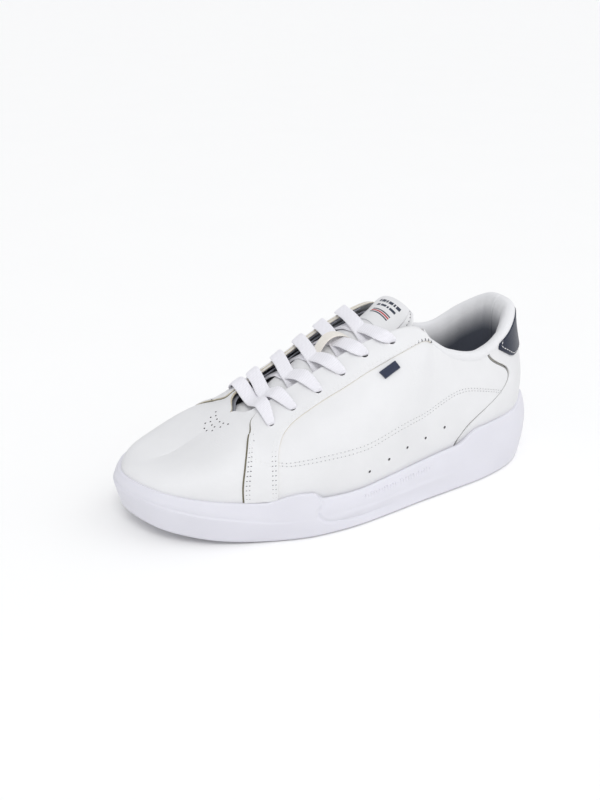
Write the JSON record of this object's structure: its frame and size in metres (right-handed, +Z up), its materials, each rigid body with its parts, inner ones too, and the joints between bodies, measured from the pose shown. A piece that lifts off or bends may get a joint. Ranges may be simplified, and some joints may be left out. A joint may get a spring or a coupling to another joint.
{
  "type": "court shoe",
  "caption": "Low-cut left court shoe with a raised rubber cupsole, leather upper, padded collar and tongue, and a flat lace.",
  "frame": {"origin": "on the ground under the middle of the sole's length", "axes": "+X towards the toe, +Y towards the outer (lateral) side of this left shoe, +Z up"},
  "size_m": [0.29, 0.1135, 0.1158],
  "materials": {
    "sole_rubber": "matt moulded rubber",
    "foam": "open foam",
    "board": "bonded fibre board",
    "insole_cloth": "cloth over foam",
    "leather": "smooth coated leather",
    "lining": "knitted lining",
    "heel_leather": "smooth coated leather",
    "label": "printed patch",
    "keeper_webbing": "narrow woven webbing",
    "tab_webbing": "woven tape",
    "lace_cotton": "flat braided cotton",
    "aglet_plastic": "clear coated tip"
  },
  "bodies": {
    "rearfoot": {"cupsole_rear": "sole_rubber", "tread_rear": "sole_rubber", "midsole_rear": "foam", "lasting_board": "board", "insole": "insole_cloth", "lateral_quarter": "leather", "medial_quarter": "leather", "lateral_eyestay": "leather", "medial_eyestay": "leather", "lateral_eyelet_strip": "lining", "medial_eyelet_strip": "lining", "heel_panel": "leather", "heel_tab": "heel_leather", "heel_counter": "board", "quarter_lining": "lining", "collar_foam": "foam", "collar_roll": "leather", "side_tab": "tab_webbing", "lace": "lace_cotton", "aglets": "aglet_plastic"},
    "forefoot": {"cupsole_front": "sole_rubber", "tread_front": "sole_rubber", "midsole_front": "foam", "vamp": "leather", "toe_puff": "board", "vamp_lining": "lining"},
    "tongue": {"tongue_skin": "leather", "tongue_foam": "foam", "tongue_lining": "lining", "tongue_label": "label", "lace_keeper": "keeper_webbing"}
  },
  "joints": [
    {"name": "toe_flex", "type": "hinge", "parent": "rearfoot", "child": "forefoot", "pos_m": [0.072, 0, 0.03], "axis": [0, -1, 0], "range_deg": [0, 35], "stiffness_Nm_per_rad": 3, "deforming": ["vamp", "vamp_lining", "lateral_eyestay", "medial_eyestay", "lasting_board", "insole"]},
    {"name": "tongue_pivot", "type": "hinge", "parent": "rearfoot", "child": "tongue", "pos_m": [0.068, 0, 0.056], "axis": [0, -1, 0], "range_deg": [0, 8], "stiffness_Nm_per_rad": 2, "deforming": ["lace"]}
  ]
}
